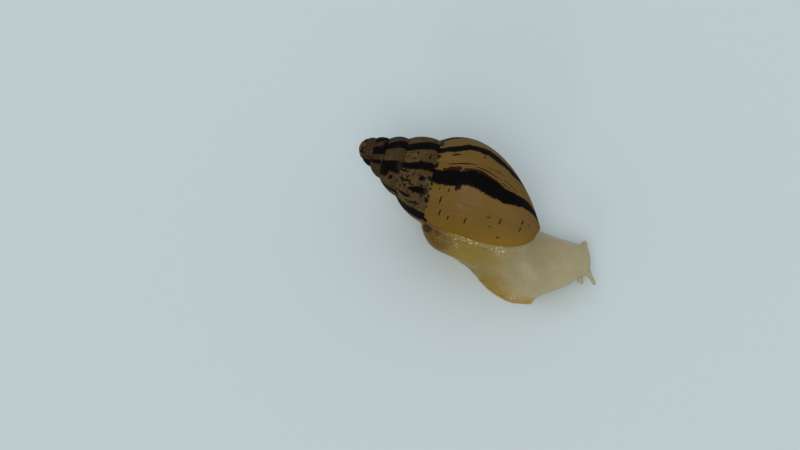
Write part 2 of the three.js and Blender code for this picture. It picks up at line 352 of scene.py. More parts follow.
def wall_radius(share, turns):
    """Radius of the wall at a share of the way from suture to base: a quarter sine out to the widest place,
    then a quarter cosine, raised to a power, in to the axis."""
    adult = smooth(turns, 0, ADULT_TURN)
    bulge = lerp(LIP_BULGE, WHORL_BULGE, adult)
    power = lerp(LIP_BASE_POWER, BASE_POWER, adult)
    widest = lerp(BODY_WIDEST, SPIRE_WIDEST, smooth(turns, *WIDEST_MOVES))
    rise = np.sin(np.pi / 2 * np.clip(share / widest, 0, 1) ** SHOULDER_POWER)
    fall = np.cos(np.pi / 2 * np.clip((share - widest) / (1 - widest), 0, 1))
    outward = np.where(share < widest, 1 + (bulge - 1) * rise, bulge * np.clip(fall, 0, 1) ** power)
    return suture_radius(turns) * outward


def wall_thickness(turns):
    """Thickness of a large whorl's wall, eased from the lip's up to the full one."""
    return lerp(LIP_WALL, WALL, smooth(turns, 0, LIP_TAPER))


def slant(share):
    """Degrees by which a growth line has fallen back from the suture."""
    return LIP_SLANT * smooth(share, 0, SLANT_SHARE)


def place(height, radius, degrees):
    """Points at a height along the axis and a radius and angle about it."""
    angle = np.radians(degrees)
    return (
        APEX
        + height[..., None] * AXIS
        + (radius * np.cos(angle))[..., None] * UPWARD
        + (radius * np.sin(angle))[..., None] * RIGHTWARD
    )


def growth_relief(turns, share):
    """Height of the growth lines: noise along the age at two sizes, less grooves where a third is high, all
    swaying across the whorl and fading towards its base, with pleats and a pinch just below the suture."""
    swayed = turns + waves(share, LINE_WAVES, SEED)
    ridges = waves(swayed, COARSE_LINES, SEED + 10, 2) + waves(swayed, MIDDLE_LINES, SEED + 20, 2)
    depth, number = GROOVES
    grooves = depth * np.clip(ripple(swayed * number, SEED + 30) - GROOVE_FROM, 0, 1)
    pleats = waves(turns, PLEATS, SEED + 40) * np.exp(-share / PLEAT_SHARE)
    pinch = PINCH_DEPTH * bell(share - PINCH_SHARE, PINCH_WIDTH)
    small = suture_radius(turns) / SUTURE_RADIUS
    return ((ridges - grooves + pleats) * smooth(1 - share, 0, CALM_BASE) - pinch) * small


def shell_wall(rows, columns):
    """The coiled wall as one closed sheet: the outer face from suture to base, then the inner face back, for
    every age from the lip to the oldest. Gives points, faces, ages and shares, and 1 for inner points."""
    spread = np.linspace(0, 1, rows)
    age = -np.log(1 - spread * (1 - np.exp(-RADIUS_GROWTH * OLDEST_TURN))) / RADIUS_GROWTH
    across = np.linspace(0, 1, columns) ** COLUMN_POWER
    turns, share = np.broadcast_arrays(age[:, None], across[None, :])
    height = lerp(suture_height(turns), base_height(turns), share)
    radius = wall_radius(share, turns)
    angle = LIP_ANGLE - 360 * turns - slant(share)
    outer = place(height, np.maximum(radius + growth_relief(turns, share), CORE_RADIUS), angle)
    thickness = wall_thickness(turns) * np.minimum(suture_radius(turns) / FULL_WALL_RADIUS, 1)
    inner = place(height, np.maximum(radius - thickness, CORE_RADIUS / 2), angle)
    ring = np.concatenate([outer, inner[:, ::-1]], axis=1)
    growth = np.stack([turns, share], -1)
    growth = np.concatenate([growth, growth[:, ::-1]], axis=1)
    inside = np.tile(np.repeat([0.0, 1.0], columns), rows)
    # The rims join the outer face to the inner one.
    side = np.arange(columns - 1)
    lip = np.stack([side, 2 * columns - 1 - side, 2 * columns - 2 - side, side + 1], -1)
    oldest = lip[:, ::-1] + (rows - 1) * 2 * columns
    faces = np.concatenate([grid_faces(rows, 2 * columns, True), lip, oldest])
    return ring.reshape(-1, 3), faces, growth.reshape(-1, 2), inside


def turned_body(heights, radii, sides):
    """Points of a body turned about the shell's axis: rings of radii at heights."""
    around = np.linspace(0, 360, sides, endpoint=False)
    height, radius = np.repeat([heights, radii], sides, axis=1)
    return place(height, radius, np.tile(around, len(heights)))


def shell_piece(material):
    """The shell: the coiled wall, the pillar it coils round, and the first whorl's cap, a quarter of an
    ellipse turned about the axis."""
    wall, faces, growth, inside = shell_wall(WALL_ROWS, WALL_COLUMNS)
    points, quads, ends = [wall], [facing_out(wall, faces)], []
    top, rim = CAP_HEIGHTS
    turn = np.radians(np.linspace(1, 90, CAP_RINGS))
    cap = (rim - (rim - top) * np.cos(turn), CAP_RADIUS * np.sin(turn))
    for heights, radii, sides in ((*PILLAR, PILLAR_SIDES), (*cap, CAP_SIDES)):
        body = turned_body(heights, radii, sides)
        here = facing_out(body, grid_faces(len(heights), sides, True))
        start = sum(len(earlier) for earlier in points)
        ends += [(end + start).tolist() for end in ring_ends(here, len(heights), sides)]
        quads.append(here + start)
        points.append(body)
    points = np.concatenate(points)
    plain = np.full((len(points) - len(wall), 2), (OLDEST_TURN, PLAIN_SHARE))
    inside = np.append(inside, np.zeros(len(plain)))
    piece = make_piece("shell_wall", points, np.concatenate(quads).tolist() + ends, material)
    mesh = piece.data
    corners = np.empty(len(mesh.loops), dtype=np.int32)
    mesh.loops.foreach_get("vertex_index", corners)
    growth = np.concatenate([growth, plain])[corners]
    mesh.uv_layers.new(name="growth").uv.foreach_set("vector", growth.astype(np.float32).ravel())
    lining = mesh.attributes.new("lining", "FLOAT", "POINT")
    lining.data.foreach_set("value", inside.astype(np.float32))
    return piece


# ---------------- shell: its colours

# Dark flames as (youngest, oldest) ages in turns back from the lip. They run from suture to base.
BODY_FLAMES = (
    (0.161, 0.208), (0.279, 0.307), (0.372, 0.398), (0.452, 0.476), (0.545, 0.602), (0.668, 0.69),
    (0.76, 0.812), (0.868, 0.884),
)
SPIRE_FLAMES = (
    (0.935, 0.985), (1.155, 1.188), (1.25, 1.302), (1.385, 1.41), (1.49, 1.555), (1.63, 1.66),
    (1.735, 1.79),
)
OLD_FLAMES = (
    (1.86, 1.885), (1.945, 1.972), (2.078, 2.145), (2.228, 2.288), (2.4, 2.44), (2.52, 2.6), (2.7, 2.74),
)
TIP_FLAMES = (
    (2.83, 2.9), (3.06, 3.095), (3.14, 3.22), (3.275, 3.39), (3.52, 3.6), (3.7, 3.8), (3.92, 4.02),
)
# Blotches as (age, share, half length in turns, half width in share, depth of colour).
BLOTCHES = (
    (0.264, 0.14, 0.004, 0.035, 0.75), (0.162, 0.235, 0.016, 0.026, 1.0),
    (0.169, 0.64, 0.007, 0.018, 0.9), (0.212, 0.15, 0.008, 0.075, 0.75), (0.21, 0.34, 0.006, 0.14, 0.6),
    (0.208, 0.42, 0.0035, 0.16, 0.8), (0.229, 0.2, 0.0025, 0.11, 0.8), (0.222, 0.42, 0.002, 0.12, 0.6),
    (0.243, 0.52, 0.0016, 0.05, 0.7), (0.236, 0.44, 0.0013, 0.05, 0.5),
    (0.231, 0.63, 0.0016, 0.08, 0.6), (0.216, 0.6, 0.002, 0.06, 0.6), (1.12, 0.345, 0.009, 0.05, 1.0),
    (1.131, 0.455, 0.009, 0.05, 0.95), (1.105, 0.12, 0.0045, 0.085, 0.9),
    (1.145, 0.06, 0.005, 0.08, 0.85), (1.074, 0.33, 0.014, 0.14, 1.0), (1.038, 0.15, 0.008, 0.11, 1.0),
    (1.016, 0.33, 0.005, 0.06, 0.8), (1.0, 0.03, 0.01, 0.05, 0.9), (1.206, 0.165, 0.005, 0.025, 0.6),
    (2.085, 0.12, 0.052, 0.125, 1.0), (2.055, 0.06, 0.028, 0.06, 0.9), (2.045, 0.31, 0.014, 0.05, 0.9),
    (3.235, 0.42, 0.035, 0.1, 1.0), (1.05, 0.47, 0.012, 0.03, 0.8), (0.036, 0.688, 0.0026, 0.016, 0.8),
    (0.098, 0.555, 0.003, 0.022, 0.32), (0.07, 0.592, 0.0026, 0.014, 0.36),
)
# Short dashes that run with the coil, as (age, share, half length in turns, depth of colour).
DASHES = (
    (0.112, 0.131, 0.0135, 1.0), (0.067, 0.154, 0.0125, 1.0), (0.056, 0.232, 0.008, 1.0),
    (0.059, 0.377, 0.0115, 1.0), (0.098, 0.655, 0.012, 1.0), (0.125, 0.835, 0.0115, 1.0),
    (0.089, 0.838, 0.011, 0.9), (0.118, 0.895, 0.006, 0.7), (0.146, 0.172, 0.006, 0.9),
    (0.147, 0.096, 0.006, 0.6), (0.266, 0.357, 0.009, 0.8), (0.246, 0.505, 0.006, 0.5),
)

BUFF = (0.182, 0.104, 0.028)
BUFF_DEEP = (0.155, 0.087, 0.020)
LIP_YELLOW = (0.235, 0.122, 0.012)
# The spire's colours: its own greyer buff and olive, made darker in part by painted shade.
SHADED_SPIRE_BUFF = (0.053, 0.036, 0.0155)
SHADED_SPIRE_OLIVE = (0.087, 0.058, 0.019)
TIP_BROWN = (0.040, 0.023, 0.010)
TIP_TAN = (0.105, 0.058, 0.016)
FLAME = (0.0024, 0.0015, 0.0014)
FLAME_EDGE = (0.040, 0.012, 0.005)
DASH_BROWN = (0.016, 0.006, 0.003)
LINE_BROWN = (0.055, 0.018, 0.005)
RUST = (0.15, 0.075, 0.014)
PORCELAIN = (0.5, 0.48, 0.42)

# Where colours change on the map of growth, each as where the change begins and where it is full.
SPIRE_AGES = (0.92, 1.0)
LIP_AGES = (0.115, -0.01)
OLD_AGES = (1.75, 2.6)
TIP_AGES = (4.2, 4.7)
CLOUDED_AGES = (4.0, 4.1)  # the oldest whorls have clouds in place of flames
UNMARKED_AGES = (6.3, 5.7)  # the first whorl has no marks
SPECKLED_AGES = (1.18, 1.14)  # the spire's youngest part has more specks
BENT_AGES, BENT_SHARES = (0.5, 0.3), (0.6, 0.95)  # the flames bend near the lip's base
# Painted shade low on the body whorl near the lip, by age and share.
SHADED_AGES, SHADED_SHARES = (0.17, 0.02), (0.75, 0.3)
RUST_REACH, RUST_SHARES = (0.019, 0.005), (0.75, 0.5)
SUTURE_SHARES = (0.045, 0.012)
LINED_FROM, LINED_TO = (0.01, 0.06), (5.0, 4.0)
RUST_AGE = 0.219  # of the reddish band's middle

RAGGED, TORN, BEND, FLAME_SOFTNESS = 0.022, 0.016, 0.05, 0.0016  # of the flames' edges, in turns
SOFTER_AGE = 1.5  # past this the flames are twice as soft
RAMP_MARGIN = 0.03
BLOTCH_TEAR = 3.4
DASH_FRAY = 1.1
DASH_SLANT = 0.12  # share in a turn
DASH_HALF_WIDTHS = (0.0050, 0.0018)  # of the faintest dash, and what full depth adds


class ShellPaint(Paint):
    """Paint on the shell's map of growth."""

    def __init__(self, name):
        super().__init__(name)
        self.age, self.share, _ = self.axes(self.node("ShaderNodeUVMap", {"uv_map": "growth"}, {}))

    def grains(self, in_turn, across, start, detail=2.0, roughness=0.5):
        """Noise with its own numbers of grains in a turn and from suture to base."""
        place = self.together(self.age * in_turn, self.share * across, start)
        return self.noise(place, 1.0, detail, roughness)


def flame_stops(flames, first, last, soft):
    """Ramp stops, over ages from first to last, that are white in the flames and black between them."""
    stops = []
    for young, old in flames:
        for age, level in ((young - soft, 0.0), (young + soft, 1.0), (old - soft, 1.0), (old + soft, 0.0)):
            stops.append(((age - first) / (last - first), (level,) * 3))
    return stops


def flame_mask(paint, ragged_age):
    """1 in the flames: a ramp over the ages for each group of them, and clouds on the oldest whorls."""
    masks = []
    for group in (BODY_FLAMES, SPIRE_FLAMES, OLD_FLAMES, TIP_FLAMES):
        first, last = group[0][0] - RAMP_MARGIN, group[-1][1] + RAMP_MARGIN
        soft = FLAME_SOFTNESS * (1 if group[0][0] < SOFTER_AGE else 2)
        along = (ragged_age - first) / (last - first)
        stops = flame_stops(group, first, last, soft)
        masks.append(paint.node("ShaderNodeValToRGB", {"stops": stops}, {"Fac": along}))
    clouds = paint.grains(9.0, 2.0, 8.0, 1.0)
    masks.append(paint.smooth(clouds, 0.56, 0.62) * paint.smooth(paint.age, *CLOUDED_AGES))
    return paint.largest(masks)


def blotch_mask(paint):
    """The blotches' depth of colour: ellipses on the map of growth, with torn edges."""
    age, share = paint.age, paint.share
    torn = (paint.grains(90.0, 34.0, 11.0, 3.0, 0.75) - 0.5) * BLOTCH_TEAR
    masks = []
    for at, across, half_length, half_width, depth in BLOTCHES:
        along, aside = (age - at) / half_length, (share - across) / half_width
        masks.append(paint.smooth(along * along + aside * aside + torn, 1.15, 0.75) * depth)
    return paint.largest(masks)


def dash_mask(paint):
    """The dashes' depth of colour: blunt, frayed strokes, from the fourth power of the way along and the
    square of the way aside."""
    age, share = paint.age, paint.share
    frayed = (paint.grains(260.0, 90.0, 14.0, 2.0, 0.6) - 0.5) * DASH_FRAY
    faintest, added = DASH_HALF_WIDTHS
    masks = []
    for at, across, half_length, depth in DASHES:
        along = (age - at) / half_length
        aside = (share - across - (age - at) * DASH_SLANT) / (faintest + added * depth)
        masks.append(paint.smooth(along * along * along * along + aside * aside + frayed, 1.25, 0.6) * depth)
    return paint.largest(masks)


def shell_ground(paint, ragged_age, spire, streaks):
    """The colour under the marks: streaked along the growth lines, yellow at the lip, greyer on the spire and
    darker there in part by painted shade, brown at the tip, reddish beside the broad flame, and darker by
    painted shade low on the body whorl near the lip."""
    age, share = paint.age, paint.share
    clouds = paint.grains(11.0, 4.0, 4.0)
    ground = paint.blend(paint.smooth(streaks * 0.55 + clouds * 0.45, 0.36, 0.66), BUFF_DEEP, BUFF)
    ground = paint.blend(paint.smooth(age, *LIP_AGES) * 0.9, ground, LIP_YELLOW)
    # Painted shade, in part: the spire's ground is darker than its own colour.
    shaded_spire_ground = paint.blend(paint.smooth(clouds, 0.35, 0.65), SHADED_SPIRE_BUFF, SHADED_SPIRE_OLIVE)
    ground = paint.blend(spire * 0.9, ground, shaded_spire_ground)
    ground = paint.blend(paint.smooth(age, *OLD_AGES) * 0.85, ground, TIP_BROWN)
    ground = paint.blend(paint.smooth(age, *TIP_AGES) * 0.9, ground, TIP_TAN)
    from_rust = paint.math("ABSOLUTE", ragged_age - RUST_AGE)
    rust = paint.smooth(from_rust, *RUST_REACH) * paint.smooth(share, *RUST_SHARES)
    ground = paint.blend(rust * 0.5, ground, RUST)
    brown_lines = paint.smooth(paint.grains(210.0, 3.0, 9.0, 2.0, 0.7), 0.6, 0.72)
    ground = paint.blend(brown_lines * (rust * 0.75 + 0.14), ground, LINE_BROWN)
    # Painted shade: the low part of the body whorl near the lip is darkened by up to a fifth.
    shaded = paint.smooth(age, *SHADED_AGES) * paint.smooth(share, *SHADED_SHARES)
    return paint.tint(ground, 1.0 - shaded * 0.2)


def shell_material():
    """Glossy shell with dark flames, blotches, dashes and specks, and fine ridges. All of it lies on the map
    of growth, so that it coils with the whorls."""
    paint = ShellPaint("shell")
    age, share = paint.age, paint.share
    spire = paint.smooth(age, *SPIRE_AGES)

    # The flames' edges are ragged, as noise shifts their ages.
    ragged = (paint.grains(34.0, 11.0, 0.0, 3.0, 0.6) - 0.5) * RAGGED
    torn = (paint.grains(120.0, 60.0, 3.0, 3.0, 0.7) - 0.5) * TORN
    bent = paint.smooth(share, *BENT_SHARES) * paint.smooth(age, *BENT_AGES) * BEND
    ragged_age = age + ragged + torn - bent

    crowded = paint.smooth(age, *SPECKLED_AGES) * 0.028
    specks = paint.smooth(paint.grains(40.0, 17.0, 5.0, 4.0, 0.75) + crowded, 0.565, 0.60)
    suture_marks = paint.smooth(paint.grains(55.0, 10.0, 2.0), 0.47, 0.56)
    beside_suture = suture_marks * paint.smooth(share, *SUTURE_SHARES)
    flames = flame_mask(paint, ragged_age)
    marks = paint.largest([flames, blotch_mask(paint), specks * spire * 0.9, beside_suture])
    dark = marks * paint.smooth(age, *UNMARKED_AGES)

    # The marks are reddish where they thin out, and black in the middle.
    streaks = paint.grains(70.0, 2.2, 0.0, 3.0, 0.6)
    ground = shell_ground(paint, ragged_age, spire, streaks)
    flame_colour = paint.blend(paint.smooth(dark, 0.55, 0.98), FLAME_EDGE, FLAME)
    colour = paint.blend(paint.smooth(dark, 0.02, 0.5), ground, flame_colour)
    colour = paint.blend(dash_mask(paint) * 0.94, colour, DASH_BROWN)
    lining = paint.node("ShaderNodeAttribute", {"attribute_name": "lining"}, {}, "Fac")
    lined = lining * paint.smooth(age, *LINED_FROM) * paint.smooth(age, *LINED_TO)
    colour = paint.blend(lined, colour, PORCELAIN)

    # Fine ridges along the growth lines, and threads along the coil, strongest on the spire.
    ridges = paint.grains(260.0, 3.5, 0.0)
    threads = paint.grains(6.0, 110.0, 6.0, 1.0)
    relief = ridges + threads * (spire * 0.8 + 0.12)
    return paint.finish(
        {
            "Base Color": colour,
            "Roughness": paint.smooth(streaks, 0.2, 0.9) * 0.14 + 0.36 + spire * 0.08,
            "Normal": paint.bump(relief, 0.35, 0.00022),
            "IOR": 1.5,
            "Specular IOR Level": 0.0,
            "Coat Weight": 0.1,
            "Coat Roughness": 0.22,
        }
    )


# ---------------- body: its form

VOXEL = 0.36
REACH = 10  # voxels on each side of a small body's surface where its distance is known
FAR_REACH = 18  # and of a large one's, with its wider creases
LOW = np.array([-46.0, -44.0, -2.5])  # corners of the block that holds the flesh
HIGH = np.array([66.0, 16.0, 37.0])
BLOCK_START = np.round(LOW / VOXEL).astype(int)  # in voxels
BLOCK_COUNT = np.ceil((HIGH - LOW) / VOXEL).astype(int)

# Soft bodies as stations of x, y, z, half width, half height.
SOLE = (
    (-41, 6.5, 0.8, 2.0, 1.4), (-36, 4.9, 1, 4.3, 2.6), (-28, 2.2, 1, 6.4, 3.6),
    (-15, -3, 1, 10.2, 4.5), (0, -9.5, 1, 11.5, 5), (12, -15.5, 1, 10.4, 7), (22, -21.6, 1, 10.9, 8.8),
    (29, -24.5, 1, 9.7, 8.4), (34.5, -25.5, 1, 7.5, 6), (37.2, -25.8, 1, 5.7, 3.4),
)
EDGE = (
    (-41.2, 6.6, 0.5, 1.8, 0.5), (-36, 4.9, 0.5, 4.9, 0.6), (-28, 2.2, 0.5, 7.0, 0.65),
    (-15, -3, 0.5, 10.7, 0.7), (0, -9.5, 0.5, 12.0, 0.7), (12, -15.5, 0.5, 10.9, 0.7),
    (22, -21.6, 0.5, 11.5, 0.7), (29, -24.5, 0.5, 10.2, 0.7), (34.5, -25.5, 0.5, 8.1, 0.7),
    (37.8, -25.9, 0.5, 6.3, 0.6),
)
BACK = (
    (-38, 5.5, 1.5, 1.5, 1.5), (-27, 1.5, 3, 5, 5.5), (-12, -4.5, 5, 8.5, 9), (2, -10, 7, 10, 13),
    (14, -15.5, 9, 11, 15), (25, -16.2, 10, 13.1, 13.5), (34, -17.5, 10.2, 14.8, 11),
    (43, -13.8, 10.2, 11.9, 8), (47.4, -11.3, 10.2, 9.6, 6.6), (50.6, -9.3, 9.6, 7.5, 5.6),
    (53.3, -8.2, 9, 7.5, 4.8), (54.9, -7.6, 8.6, 4.5, 2.8),
)
COLUMN = (
    (-11, -16, 19, 3, 6), (-8, -16.2, 18, 8.0, 12.5), (1, -16.6, 17, 10.6, 17),
    (13, -16.8, 16, 11.8, 17), (23, -17, 13.5, 12.0, 14.2), (31, -17, 10.8, 10.2, 9.0),
    (38, -15.5, 10, 7.5, 6.5), (44, -13, 10, 4, 3),
)
MOUTH = np.array([55.7, -7.5, 7.4])
MOUTH_AHEAD = unit([0.94, 0.33, 0.0])
MOUTH_SIDE = unit([0.33, -0.94, 0.0])
PORE = np.array([-12.6, -25.3, 26.4])  # where the breathing pore opens in the mantle's edge
# The fold of the mantle that lies below the suture end of the lip.
MANTLE = (
    (-14.2, -19.6, 27, 2.0, 2.5), (-12.6, -23.4, 24.4, 3.7, 4.3), (-7.6, -25.6, 20.3, 4.5, 5.2),
    (1, -26, 17.5, 4.2, 4.5), (9, -27, 15, 3.0, 3.5),
)
COLLAR_SHARES = (0.05, 0.9)
COLLAR_RINGS, COLLAR_SIDES = 24, 20
COLLAR_RADIUS, COLLAR_INSET = 2.5, 2.2
COLLAR_SWELLS = (0.1, 9)  # how much its radius varies, and its number of swells
COLLAR_END = 0.4  # radius of its ends over the roll's own
COLLAR_BELOW = 5  # degrees past the lip

# Feelers as stations of x, y, z and radius, from root to tip: upper right and left, lower right and left.
FEELERS = (
    ((53.4, -11.2, 9.0, 2.1), (56.0, -13.1, 9.2, 1.4), (58.3, -15.5, 9.4, 0.98), (60.4, -17.6, 9.4, 0.84)),
    ((50.8, -5.2, 9.6, 2.4), (50.7, -3.6, 10.1, 1.75), (50.8, -2.6, 10.5, 1.45), (50.9, -1.6, 10.8, 1.35)),
    ((51.2, -12.9, 5.6, 2.7), (52.7, -14.6, 5.1, 2.0), (53.9, -15.9, 4.7, 1.35), (54.9, -16.8, 4.4, 0.85)),
    ((52.6, -5.6, 5.2, 1.5), (53.0, -4.9, 4.8, 1.2), (53.4, -4.3, 4.4, 1.0), (53.7, -3.9, 4.1, 0.8)),
)
TIP_RINGS = 6
TIP_POINT = 0.02  # least radius of a feeler's rounded end, over its tip's
THINNEST = 0.2  # least half width and half height
FACING_ROUNDS = 24  # of averaging the way the ellipses face

# How far the crease is filled where a body joins the rest of the flesh.
LARGE_BODIES = ((SOLE, 6.3), (COLUMN, 3.0), (MANTLE, 4.0))
EDGE_CREASE, COLLAR_CREASE, FEELER_CREASE = 1.2, 1.6, 1.0

# The room that the shell's mouth leaves the flesh.
SKIN_GAP = 0.08  # between the skin and the wall
ROOM_AGES, ROOM_SHARE = 0.6, 0.96  # oldest age that is looked at, and last share where the wall draws in
FREE_PAST_LIP, FREE_FAR_BACK = 0.001, 0.32  # turns past the lip and back from it where the flesh is free
FREE_NEAR_BASE = 0.6  # millimetres short of the base where it is free
FREE_BY_TURN, FREE_BY_HEIGHT = 260, 60  # room gained in a turn, and in a millimetre

# The skin's relief and its easing.
EASING_ROUNDS = 8
PULL, PUSH = 0.6, -0.58
SOLE_HELD = (0.05, 1.0)  # heights between which the flat sole is let go
FEELERS_FROM = (54.5, 56.5)  # x between which the head gives way to a feeler
FEELERS_HELD = 0.6  # how much less the feelers are eased
LUMPS = ((0.16, 5.5), (0.07, 2.4))  # heights and sizes
ALONG_FOOT = np.array([0.9, -0.43, 0.0])
FOLDS = (0.12, 1 / 1.7)  # height, and number in a millimetre
FOLDS_BELOW, FOLDS_ABOVE = (7.5, 2.5), (0.4, 1.6)
FRINGE = (0.12, 1 / 2.6)
FRINGE_BELOW = (2.2, 0.3)
PORE_DEPTH, PORE_RIM = 1.3, (2.6, 0.5)
MOUTH_HALF_WIDTH = 2.3
MOUTH_FRONT = (-2.0, -0.4)
MOUTH_DROOP = 0.05  # drop of the slit's ends, for the square of the way across
SLIT_DEPTH, SLIT_WIDTH = 0.75, 0.42
MOUTH_LIP_HEIGHT, MOUTH_LIP_WIDTH, MOUTH_LIP_RISE = 0.32, 0.55, 1.0


def through(stations, steps):
    """Values along Catmull and Rom's curve through the stations: on each span a cubic, whose slope at a
    station is half the difference of its neighbours."""
    known = np.asarray(stations, dtype=float)
    padded = np.concatenate([[2 * known[0] - known[1]], known, [2 * known[-1] - known[-2]]])
    along = np.linspace(0, len(known) - 1, steps)
    span = np.minimum(along.astype(int), len(known) - 2)
    t = (along - span)[:, None]
    before, start, end, after = (padded[span + offset] for offset in range(4))
    slope_in, slope_out = (end - before) / 2, (after - start) / 2
    rising = 2 * t**3 - 3 * t**2
    return (rising + 1) * start - rising * end + (t**3 - 2 * t**2 + t) * slope_in + (t**3 - t**2) * slope_out


def rings_along(middle, ahead, half_width, half_height, sides):
    """A closed body of ellipses about a curve, square to the way ahead and level from side to side."""
    aside = units(np.cross(ahead, [0.0, 0.0, 1.0]))
    above = units(np.cross(aside, ahead))
    turn = np.linspace(0, 2 * np.pi, sides, endpoint=False)[None, :, None]
    across = aside[:, None] * half_width[:, None, None] * np.cos(turn)
    rings = middle[:, None] + across + above[:, None] * half_height[:, None, None] * np.sin(turn)
    poles = [np.broadcast_to(end, (1, sides, 3)) for end in (middle[0], middle[-1])]
    points = np.concatenate([poles[0], rings, poles[1]]).reshape(-1, 3)
    return points, grid_faces(len(middle) + 2, sides, True)


def soft_body(stations, steps=70, sides=40):
    """A closed body of ellipses along a curve. The way each one faces is averaged with its neighbours', so
    that none cross where the curve turns."""
    values = through(stations, steps)
    ahead = np.gradient(values[:, :3], axis=0)
    for _ in range(FACING_ROUNDS):
        ahead[1:-1] = (ahead[:-2] + 2 * ahead[1:-1] + ahead[2:]) / 4
    half_width, half_height = np.maximum(values[:, 3:], THINNEST).T
    return rings_along(values[:, :3], ahead, half_width, half_height, sides)


def round_body(middle, radius, sides=20):
    """A closed body of round rings along its middles."""
    return rings_along(middle, np.gradient(middle, axis=0), radius, radius, sides)


def feeler_body(stations, steps=30):
    """A round body along a curve, which ends in half a ball of the last station's radius."""
    values = through(stations, steps)
    middle, radius = values[:, :3], values[:, 3]
    share = np.arange(1, TIP_RINGS + 1) / TIP_RINGS
    onward = share[:, None] * radius[-1] * unit(middle[-1] - middle[-3])
    narrowing = radius[-1] * np.sqrt(np.maximum(1 - share**2, TIP_POINT**2))
    return round_body(np.concatenate([middle, middle[-1] + onward]), np.concatenate([radius, narrowing]))


def collar():
    """The thick edge of the mantle: a roll of flesh that follows the lip, just inside it and past it."""
    share = np.linspace(*COLLAR_SHARES, COLLAR_RINGS)
    lip = np.zeros_like(share)
    height = lerp(suture_height(lip), base_height(lip), share)
    middle = place(height, wall_radius(share, lip) - COLLAR_INSET, LIP_ANGLE - slant(share) + COLLAR_BELOW)
    radius = COLLAR_RADIUS * (1 + waves(share, COLLAR_SWELLS, SEED + 50))
    radius[[0, -1]] *= COLLAR_END
    return round_body(middle, radius, COLLAR_SIDES)


def distances(body, reach=REACH):
    """Distance to a closed body, negative inside it, at each voxel."""
    points, quads = body
    level = openvdb.FloatGrid.createLevelSetFromPolygons(
        points.astype(np.float32),
        quads=quads.astype(np.uint32),
        transform=openvdb.createLinearTransform(voxelSize=VOXEL),
        halfWidth=reach,
    )
    field = np.empty(BLOCK_COUNT, dtype=np.float32)
    level.copyToArray(field, ijk=tuple(BLOCK_START.tolist()))
    return field


def merged(first, second, crease):
    """The two bodies as one: the smaller distance, less a quarter of the crease's reach times the square of
    how nearly the two are equal, which fills the crease."""
    nearness = np.maximum(crease - np.abs(first - second), 0) / crease
    return np.minimum(first, second) - nearness * nearness * crease / 4


def within_mouth(points):
    """How far points are outside the room that the shell leaves the flesh: inside the wall near the lip, and
    free past it, well back from it and at the base. A point's age comes from its angle, put right twice for
    the growth line's slant."""
    offset = points - APEX
    height, up, right = offset @ AXIS, offset @ UPWARD, offset @ RIGHTWARD
    angle = np.degrees(np.arctan2(right, up))
    share = np.zeros(len(points))
    for _ in range(3):
        turns = (LIP_ANGLE - angle - slant(share)) / 360
        age = np.clip(turns, 0, ROOM_AGES)
        share = np.clip((height - suture_height(age)) / (base_height(age) - suture_height(age)), 0, 1)
    room = wall_radius(np.minimum(share, ROOM_SHARE), age) - wall_thickness(age) - SKIN_GAP
    past_lip = np.maximum(-turns - FREE_PAST_LIP, 0) * FREE_BY_TURN
    far_back = np.maximum(turns - FREE_FAR_BACK, 0) * FREE_BY_TURN
    near_base = np.maximum(height - base_height(age) + FREE_NEAR_BASE, 0) * FREE_BY_HEIGHT
    return np.hypot(up, right) - room - past_lip - far_back - near_base


def flesh():
    """The body's points and faces: soft bodies merged, kept inside the shell's mouth and above the floor, and
    drawn as one closed skin."""
    field = distances(soft_body(BACK), FAR_REACH)
    for stations, crease in LARGE_BODIES:
        field = merged(field, distances(soft_body(stations), FAR_REACH), crease)
    field = merged(field, distances(soft_body(EDGE, 90, 60)), EDGE_CREASE)
    field = merged(field, distances(collar()), COLLAR_CREASE)
    for stations in FEELERS:
        field = merged(field, distances(feeler_body(stations)), FEELER_CREASE)
    near = np.abs(field) < 0.98 * REACH * VOXEL  # where the distance is known
    field[near] = np.maximum(field[near], within_mouth((np.argwhere(near) + BLOCK_START) * VOXEL))
    z = (BLOCK_START[2] + np.arange(BLOCK_COUNT[2])) * VOXEL
    field = np.maximum(field, -z).astype(np.float32)
    grid = openvdb.FloatGrid(REACH * VOXEL)
    grid.copyFromArray(field, ijk=tuple(BLOCK_START.tolist()))
    grid.transform = openvdb.createLinearTransform(voxelSize=VOXEL)
    points, quads = grid.convertToQuads(0.0)
    points, quads = np.asarray(points, dtype=float), np.asarray(quads, dtype=np.int64)
    return points, facing_out(points, quads)


def eased(points, quads, strength):
    """The points, pulled again and again towards the mean of their neighbours by their own strength, and each
    time pushed back almost as far, so that the body doesn't shrink."""
    edges = np.concatenate([quads[:, [0, 1]], quads[:, [1, 2]], quads[:, [2, 3]], quads[:, [3, 0]]])
    one, other = np.concatenate([edges, edges[:, ::-1]]).T
    neighbours = np.bincount(one, minlength=len(points))
    for factor in (PULL, PUSH) * EASING_ROUNDS:
        mean = np.stack([np.bincount(one, points[other, axis], len(points)) for axis in range(3)], 1)
        move = mean / neighbours[:, None] - points
        points = points + move * (strength * factor)[:, None]
    return points


def normals_of(points, quads):
    """Unit normals of the points, from the cross products of the faces' diagonals."""
    faces = np.cross(points[quads[:, 2]] - points[quads[:, 0]], points[quads[:, 3]] - points[quads[:, 1]])
    total = np.stack(
        [sum(np.bincount(quads[:, k], faces[:, axis], len(points)) for k in range(4)) for axis in range(3)], 1
    )
    return total / np.maximum(np.linalg.norm(total, axis=1), 1e-9)[:, None]


